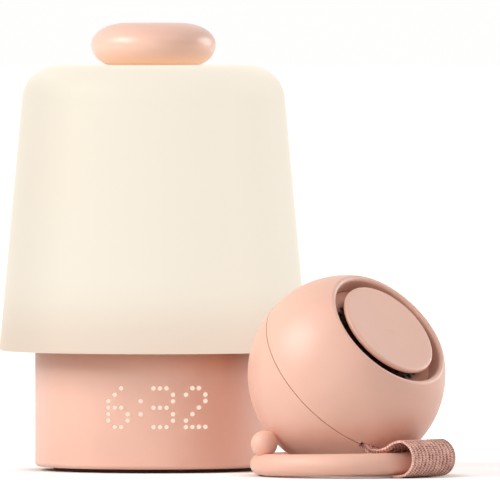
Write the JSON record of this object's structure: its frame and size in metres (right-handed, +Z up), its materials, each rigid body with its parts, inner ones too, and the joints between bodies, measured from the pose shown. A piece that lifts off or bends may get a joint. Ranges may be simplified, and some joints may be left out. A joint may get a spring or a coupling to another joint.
{
  "type": "sound machine with lamp and portable speaker",
  "caption": "Bedside sound machine with cream lamp shade, top dial and dot clock, and a ball-shaped portable speaker with tilted volume disc, silicone ring and woven strap.",
  "frame": {"origin": "on the table, at the centre of the bedside unit's foot ring", "axes": "+Z up along the bedside unit's axis, -Y towards the clock's viewer, +X to the viewer's right"},
  "size_m": [0.1799, 0.1714, 0.1767],
  "materials": {
    "body_plastic": "fine matt pink",
    "dial_plastic": "satin pink",
    "shade_cream": "translucent satin cream",
    "silicone": "satin silicone",
    "strap_fabric": "ribbed woven band",
    "foot_rubber": "matt",
    "foam": "open foam",
    "dark_plastic": "matt black",
    "column_white": "matt white",
    "light_cream": "lit",
    "circuit_board": "solder mask",
    "circuit_white": "white solder mask",
    "chip_black": "moulded",
    "magnet_black": "ferrite",
    "cone_paper": "pulp",
    "battery_foil": "foil",
    "steel": "nickel plated"
  },
  "bodies": {
    "bedside_unit": {"base_housing": "body_plastic", "bottom_cover": "body_plastic", "foot_ring": "foot_rubber", "cover_screws": "steel", "main_board": "circuit_board", "main_board_chips": "chip_black", "power_inlet": "steel", "clock_mask": "dark_plastic", "clock_board": "circuit_board", "clock_lights": "light_cream", "column_nut": "dark_plastic", "lamp_column": "column_white", "light_board": "circuit_white", "light_leds": "light_cream", "shade": "shade_cream", "dial_encoder": "dark_plastic", "dial_nut": "steel", "base_speaker_basket": "dark_plastic", "base_speaker_magnet": "magnet_black", "base_speaker_surround": "foot_rubber", "base_speaker_gasket": "foam"},
    "dial_plunger_body": {"dial_plunger": "dark_plastic"},
    "dial_knob": {"top_dial": "dial_plastic", "dial_underplate": "dial_plastic", "dial_shaft": "steel"},
    "base_cone": {"base_speaker_cone": "cone_paper"},
    "portable_unit": {"front_shell": "body_plastic", "rear_shell": "body_plastic", "foot_pad": "silicone", "disc_grille": "dark_plastic", "battery_pad": "foam", "battery_cell": "battery_foil", "battery_cradle": "dark_plastic", "control_board": "circuit_board", "control_board_chips": "chip_black", "charge_board": "circuit_board", "charge_socket": "steel", "strap_pin": "steel", "strap_root": "strap_fabric", "disc_encoder": "dark_plastic", "disc_nut": "steel", "ball_speaker_basket": "dark_plastic", "ball_speaker_magnet": "magnet_black", "ball_speaker_surround": "foot_rubber", "ball_speaker_gasket": "foam"},
    "disc_plunger_body": {"disc_plunger": "dark_plastic"},
    "disc_knob": {"volume_disc": "body_plastic", "disc_shaft": "steel"},
    "ball_cone": {"ball_speaker_cone": "cone_paper"},
    "ring_body": {"carry_ring": "silicone", "ring_toggle": "silicone", "strap_loop": "strap_fabric"}
  },
  "joints": [
    {"name": "dial_press", "type": "slide", "parent": "bedside_unit", "child": "dial_plunger_body", "axis": [0, 0, -1], "range_m": [0, 0.0005], "stiffness_N_per_m": 3000, "springref_m": -0.0005},
    {"name": "dial_turn", "type": "hinge", "parent": "dial_plunger_body", "child": "dial_knob", "pos_m": [0, 0, 0.1675], "axis": [0, 0, 1], "continuous": true},
    {"name": "base_cone_move", "type": "slide", "parent": "bedside_unit", "child": "base_cone", "axis": [0, 1, 0], "range_m": [-0.0008, 0.0008], "stiffness_N_per_m": 900, "deforming": ["base_speaker_surround"]},
    {"name": "portable_lift", "type": "slide", "parent": "bedside_unit", "child": "portable_unit", "axis": [0, 0, 1], "range_m": [0, 0.12]},
    {"name": "face_press", "type": "slide", "parent": "portable_unit", "child": "disc_plunger_body", "axis": [-0.5868, 0.4994, -0.6374], "range_m": [0, 0.0005], "stiffness_N_per_m": 3000, "springref_m": -0.0003},
    {"name": "face_turn", "type": "hinge", "parent": "disc_plunger_body", "child": "disc_knob", "pos_m": [0.09112, -0.07996, 0.05617], "axis": [0.5868, -0.4994, 0.6374], "continuous": true},
    {"name": "ball_cone_move", "type": "slide", "parent": "portable_unit", "child": "ball_cone", "axis": [0.5868, -0.4994, 0.6374], "range_m": [-0.0008, 0.0008], "stiffness_N_per_m": 900, "deforming": ["ball_speaker_surround"]},
    {"name": "loop_swing", "type": "hinge", "parent": "portable_unit", "child": "ring_body", "pos_m": [0.10218, -0.09304, 0.0055], "axis": [-0.6157, -0.788, 0], "range_deg": [0, 70]}
  ],
  "couplings": [
    {"joint": "loop_swing", "follows": "portable_lift", "rad_per_m": 10}
  ]
}
